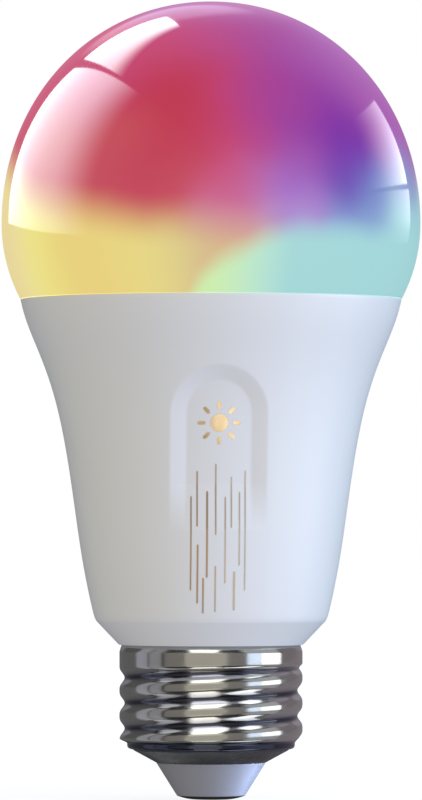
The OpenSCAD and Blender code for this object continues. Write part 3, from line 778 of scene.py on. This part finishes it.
# Finish of each inner material slot: colour, gloss, metal or not, and size of its mottling
INNER = {
    "silicone": ((0.85, 0.85, 0.82), 0.5, 0, 3),
    "aluminium_cup": ((0.72, 0.73, 0.75), 0.35, 1, 4),
    "thermal_silicone": ((0.6, 0.34, 0.38), 0.7, 0, 1.5),
    "led_board_white": ((0.85, 0.85, 0.82), 0.35, 0, 5),
    "screw_steel": ((0.66, 0.66, 0.62), 0.3, 1, 1),
    "connector_nylon": ((0.8, 0.74, 0.6), 0.45, 0, 2),
    "led_package": ((0.88, 0.88, 0.85), 0.3, 0, 1),
    "phosphor_cool": ((0.9, 0.78, 0.24), 0.35, 0, 0.4),
    "phosphor_warm": ((0.9, 0.42, 0.06), 0.35, 0, 0.4),
    "clear_lens": ((0.7, 0.76, 0.78), 0.08, 0, 0.8),
    "board_blue": ((0.01, 0.03, 0.16), 0.3, 0, 2),
    "shield_steel": ((0.7, 0.7, 0.67), 0.28, 1, 3),
    "gold_plate": ((0.83, 0.6, 0.24), 0.25, 1, 1),
    "sleeve_plastic": ((0.78, 0.76, 0.66), 0.5, 0, 5),
    "board_green": ((0.01, 0.14, 0.05), 0.3, 0, 2),
    "ferrite": ((0.05, 0.05, 0.055), 0.6, 0, 0.8),
    "bobbin_phenolic": ((0.07, 0.035, 0.02), 0.45, 0, 1.5),
    "winding_tape": ((0.72, 0.5, 0.06), 0.25, 0, 2),
    "capacitor_sleeve": ((0.02, 0.025, 0.05), 0.3, 0, 3),
    "film_capacitor_epoxy": ((0.7, 0.46, 0.02), 0.35, 0, 3),
    "copper_wire": ((0.6, 0.24, 0.09), 0.3, 1, 1),
    "chip_epoxy": ((0.02, 0.02, 0.022), 0.5, 0, 0.5),
    "resistor_ceramic": ((0.12, 0.3, 0.36), 0.4, 0, 1),
    "varistor_epoxy": ((0.02, 0.07, 0.36), 0.3, 0, 1.5),
    "chip_black": ((0.03, 0.03, 0.035), 0.45, 0, 0.5),
    "chip_tan": ((0.36, 0.22, 0.11), 0.45, 0, 0.5),
    "wire_red": ((0.5, 0.02, 0.015), 0.35, 0, 2),
    "wire_white": ((0.8, 0.8, 0.76), 0.35, 0, 2),
}


def inner_look(slot):
    color, roughness, metal, size = INNER[slot]
    look = Look("inner_" + slot, Metallic=float(metal))
    return look.vary(color, amount=0.08, size_mm=size, roughness=roughness, spread=0.06,
                     grain_mm=size / 6, grain_depth=0.01)


# ---- Build the pieces ----

def dress(piece, material, node):
    piece.data.materials.append(material)
    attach(piece, "root")
    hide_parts(node)


dome, housing, shell, ring = make_dome(), make_housing(), make_shell(), make_ring()
dress(dome, dome_look(), "diffuser_dome")
dress(housing, housing_look(), "housing")
symbol, lines, cone = make_symbol(), make_lines(), make_cone()
dress(symbol, gold_look(), "emblem")
dress(lines, thin_gold_look(), "accent_lines")
dress(shell, nickel_look(), "screw_shell")
dress(ring, black_look(), "insulator_ring")
dress(cone, cone_look(), "insulator_cone")
dress(make_contact(), contact_look(), "center_contact")

slot_of = {part["node"]: part["material_slot"] for part in frame["record"]["subparts"]}
inner_looks = {slot: inner_look(slot) for slot in INNER}
for node, piece in frame["nodes"].items():
    if slot_of[node] in inner_looks:
        piece.data.materials.clear()
        piece.data.materials.append(inner_looks[slot_of[node]])


# ---- Studio ----

def direction(azimuth, elevation):
    """Unit vector; azimuth 0 is out of the panel, positive towards +X."""
    a, e = math.radians(azimuth), math.radians(elevation)
    return Vector((math.sin(a) * math.cos(e), -math.cos(a) * math.cos(e), math.sin(e)))


def softbox(name, corners, strength, color, lit, fade=1.0, ends=(1, 1), bend=(0, 0), rim=1.0,
            ease=1):
    """A glowing window seen only in the reflections of the pieces in the collection lit.

    corners are (azimuth, elevation) in order. The side between the first and the last
    corner is the bright one, and the light falls softly to nothing over the share fade of
    the width before the opposite side. ends are its levels along the first edge and along
    the far edge, bend raises the middle of each of those edges by that many degrees, and
    rim is the share of the brightness that is left at the bright side itself. An ease above
    1 holds the level of the first edge for longer.
    """
    centre, away, count = Vector((0, 0, 0.09)), 1.2, 24
    spots = [direction(*c) for c in corners]
    points, levels, faces = [], [], []
    for j in range(count + 1):
        for i in range(count + 1):
            u, v = i / count, j / count
            spot = spots[0].lerp(spots[1], u).lerp(spots[3].lerp(spots[2], u), v).normalized()
            spot.z += math.radians(mix(*bend, v)) * 4 * u * (1 - u)
            points.append(centre + spot.normalized() * away)
            end = mix(*ends, smooth(v) if ease == 1 else v ** ease)
            levels.append(smooth((1 - u) / fade) * mix(rim, 1, min(1, 2 * u)) * end)
    for j in range(count):
        for i in range(count):
            a = j * (count + 1) + i
            faces.append((a, a + 1, a + count + 2, a + count + 1))
    mesh = bpy.data.meshes.new(name)
    mesh.from_pydata(points, [], faces)
    mesh.attributes.new("level", "FLOAT", "POINT").data.foreach_set("value", levels)
    panel = put(name, mesh)
    material = bpy.data.materials.new(name)
    material.use_nodes = True
    material.cycles.emission_sampling = "NONE"
    mesh.materials.append(material)
    graph = Graph(material.node_tree)
    graph.tree.nodes.clear()
    level = graph.add("ShaderNodeAttribute", attribute_name="level").outputs["Fac"]
    glow = graph.add("ShaderNodeEmission")
    graph.feed(glow.inputs["Color"], color)
    graph.feed(glow.inputs["Strength"], graph.math("MULTIPLY", level, strength))
    graph.feed(graph.add("ShaderNodeOutputMaterial").inputs[0], glow.outputs[0])
    for ray in ("camera", "diffuse", "transmission", "volume_scatter", "shadow"):
        setattr(panel, "visible_" + ray, False)
    panel.light_linking.receiver_collection = lit


def card(name, azimuths, elevations, strength, color, lit, height=13, away=0.6, matt=False):
    """A flat lamp for the pieces in the collection lit.

    azimuths and elevations are its edges in degrees, as seen from the axis at a height in
    millimetres. It shows in the pieces' gloss, and with matt set it lights all of them.
    """
    azimuth, elevation = sum(azimuths) / 2, sum(elevations) / 2
    data = bpy.data.lights.new(name, "AREA")
    data.shape = "RECTANGLE"
    across = math.tan(math.radians(azimuths[1] - azimuths[0]) / 2)
    data.size = 2 * away * across * math.cos(math.radians(elevation))
    data.size_y = 2 * away * math.tan(math.radians(elevations[1] - elevations[0]) / 2)
    data.color = color
    data.energy = strength * 4 * data.size * data.size_y
    lamp = put(name, data)
    toward = direction(azimuth, elevation)
    lamp.location = Vector((0, 0, height * MM)) + toward * away
    lamp.rotation_euler = toward.to_track_quat("Z", "Y").to_euler()
    lamp.visible_camera = False
    lamp.visible_diffuse = matt
    lamp.light_linking.receiver_collection = lit


def lit_group(name, pieces):
    group = bpy.data.collections.new(name)
    for piece in pieces:
        group.objects.link(piece)
    return group


def make_floor():
    """A plain pale floor just under the contact, which only the camera and shadows see."""
    far, z = 4.0, -0.2 * MM
    mesh = bpy.data.meshes.new("floor")
    mesh.from_pydata([(-far, -far, z), (far, -far, z), (far, far, z), (-far, far, z)], [],
                     [(0, 1, 2, 3)])
    floor = put("floor", mesh)
    look = Look("pale_floor", Roughness=1.0, Emission_Strength=0.86)
    look.set("Base Color", look.blend(look.noise(400, 2), (0.24,) * 3, (0.26,) * 3))
    look.set("Emission Color", (1, 1, 1))
    mesh.materials.append(look.material)
    floor.visible_diffuse = False
    floor.visible_glossy = False


# Soft light by degrees round the bulb, 0 in front of the panel: dim at the back and on the
# left, brightest and bluish on the right
SOFT_LIGHT = [
    (-180, (0.25, 0.28, 0.5)), (-120, (0.6, 0.65, 0.8)), (-85, (0.68, 0.7, 0.64)),
    (-60, (0.48, 0.47, 0.29)), (-35, (0.55, 0.49, 0.29)), (-10, (0.79, 0.72, 0.61)),
    (15, (1.06, 1.07, 1.2)), (40, (1.28, 1.4, 1.8)), (60, (1.38, 1.62, 2.02)),
    (80, (1.06, 1.33, 1.5)), (110, (0.37, 0.54, 0.6)), (150, (0.12, 0.18, 0.3)),
    (180, (0.25, 0.28, 0.5)),
]


def make_world():
    """White to the camera, soft uneven light, and a dim room in reflections."""
    world = bpy.data.worlds.new("studio")
    bpy.context.scene.world = world
    world.use_nodes = True
    graph = Graph(world.node_tree)
    graph.tree.nodes.clear()
    toward = graph.add("ShaderNodeTexCoord").outputs["Generated"]
    across, deep, up = graph.split(toward)

    # A ramp holds colours up to 1, so it is filled with halves
    turn = graph.math("ARCTAN2", across, graph.math("MULTIPLY", deep, -1))
    stops = [((degrees + 180) / 360, tuple(c / 2 for c in color))
             for degrees, color in SOFT_LIGHT]
    sides = graph.vector("SCALE", graph.ramp(graph.span(turn, -math.pi, math.pi), stops), scale=2)
    below = graph.vector("MULTIPLY_ADD", sides, (0.35, 0.35, 0.35), (0.24, 0.24, 0.3))
    soft_light = graph.blend(graph.span(up, -0.7, 0, smooth_step=True), below, sides)

    # The room is dim in front, paler above and behind, and has one bright spot behind
    above = graph.vector("DOT_PRODUCT", toward, (0, 0.6, 0.8))
    room = graph.blend(graph.span(above, 0.55, 0.95, smooth_step=True),
                       (0.04, 0.038, 0.04), (0.3, 0.28, 0.33))
    behind = graph.vector("DOT_PRODUCT", toward, (-0.1, 0.8, 0.6))
    room = graph.blend(graph.span(behind, 0.965, 0.993, smooth_step=True), room, (1.05, 1, 1.1))

    path = graph.add("ShaderNodeLightPath")
    seen = graph.blend(path.outputs["Is Glossy Ray"], soft_light, room)
    seen = graph.blend(path.outputs["Is Camera Ray"], seen, (1, 1, 1))
    background = graph.add("ShaderNodeBackground")
    graph.feed(background.inputs["Color"], seen)
    graph.feed(graph.add("ShaderNodeOutputWorld").inputs[0], background.outputs[0])


def make_camera():
    """At eye height with the lower part of the housing, tilted slightly up."""
    away, azimuth, eye_z, aim_z = 0.87, -3.2, 0.040, 0.0571
    data = bpy.data.cameras.new("camera")
    camera = put("camera", data)
    camera.location = direction(azimuth, 0) * away + Vector((0, 0, eye_z))
    aim = Vector((0, 0, aim_z)) - camera.location
    camera.rotation_euler = aim.to_track_quat("-Z", "Y").to_euler()
    frame_height = 0.11458
    data.sensor_width = 36
    data.lens = data.sensor_width * aim.length / frame_height
    data.clip_end = 20
    bpy.context.scene.camera = camera


make_camera()
make_floor()
make_world()

dome_only = lit_group("lit_dome", [dome])
softbox("left_window", [(-151, 30), (-66, 55), (-70, -10), (-150, 2)], 15, (0.76, 0.95, 1),
        dome_only, fade=0.42, ends=(0.55, 0.2), bend=(-2.2, 2), rim=0.85, ease=2)
softbox("left_skylight", [(-153, 32), (-98, 56), (-166, 61), (-172, 41)], 10, (0.78, 1, 1),
        dome_only, fade=0.38, bend=(-1.7, 0), rim=0.8)
softbox("right_window", [(141, 23), (100, 32), (88, 10), (138, 8)], 5, (0.92, 0.97, 1),
        dome_only, ends=(0.5, 1))
softbox("right_low_window", [(139, 7), (88, 9), (90, -9), (136, -3)], 2.8, (0.95, 0.96, 1),
        dome_only, ends=(1, 0.15))

# What the shell and the ring reflect: dim walls with bright lamps above, below and to the right
metal = lit_group("lit_shell", [shell, ring])
card("brown_wall", (-64, 43), (-32, 32), 1, (0.15, 0.14, 0.125), metal)
card("front_mid", (-36, 17), (-11, 11), 1, (0.21, 0.2, 0.17), metal, away=0.5)
card("front_amber", (-34, 12), (11.5, 32), 1, (0.46, 0.44, 0.32), metal, away=0.5)
card("front_amber_low", (-34, 12), (-32, -11.5), 1, (0.34, 0.32, 0.24), metal, away=0.5)
card("front_top", (-41, 14), (33, 80), 1.7, (1, 1, 1), metal)
card("front_low", (-41, 14), (-80, -50), 1.3, (1, 0.97, 0.9), metal)
card("key_pale", (43, 62), (-6, 8), 1.3, (0.68, 0.8, 1), metal)
card("key_mid", (62.5, 95), (-6, 8), 1.6, (0.98, 0.99, 1), metal)
card("key_grey", (43, 97), (-40, -7), 0.3, (0.9, 0.95, 1), metal)
card("key_grey_top", (43, 97), (9, 46), 0.36, (0.9, 0.95, 1), metal)
card("key_top", (55, 97), (52, 80), 1.8, (0.94, 0.97, 1), metal)
card("key_low", (55, 97), (-80, -46), 1.5, (0.94, 0.97, 1), metal)
card("side_mid", (-111, -89.5), (-42, 42), 1, (0.28, 0.28, 0.32), metal)
card("side_mid_2", (-87, -68), (-42, 42), 1, (0.24, 0.24, 0.26), metal)
card("side_top", (-108, -76), (46, 80), 0.6, (0.95, 0.95, 1), metal)
card("side_low", (-108, -76), (-80, -44), 0.45, (0.95, 0.95, 1), metal)
card("right_wall", (98, 170), (-55, 55), 1, (0.17, 0.15, 0.17), metal)
card("left_wall", (-175, -112), (-55, 55), 1, (0.08, 0.08, 0.08), metal)
card("under_lamp", (160, 208), (-78, -30), 0.32, (0.95, 0.97, 1), lit_group("lit_ring", [ring]))

foil = lit_group("lit_foil", [symbol, lines])
card("foil_dim", (-45, -1), (-50, 6), 0.4, (1, 0.93, 0.85), foil, 50)
card("foil_bright", (-0.5, 55), (-50, 6), 1.2, (1, 0.97, 0.92), foil, 50)
card("foil_side", (-95, -50), (-70, 10), 1.1, (1, 0.96, 0.88), foil, 50)
card("cone_lamp", (70, 125), (-35, 35), 11, (0.52, 0.66, 1), lit_group("lit_cone", [cone]), 3,
     matt=True)
card("housing_strip", (63, 97), (-35, 35), 3, (0.95, 0.98, 1),
     lit_group("lit_housing", [housing]), 47)

scene = bpy.context.scene
scene.view_settings.view_transform = "Standard"
scene.view_settings.look = "None"
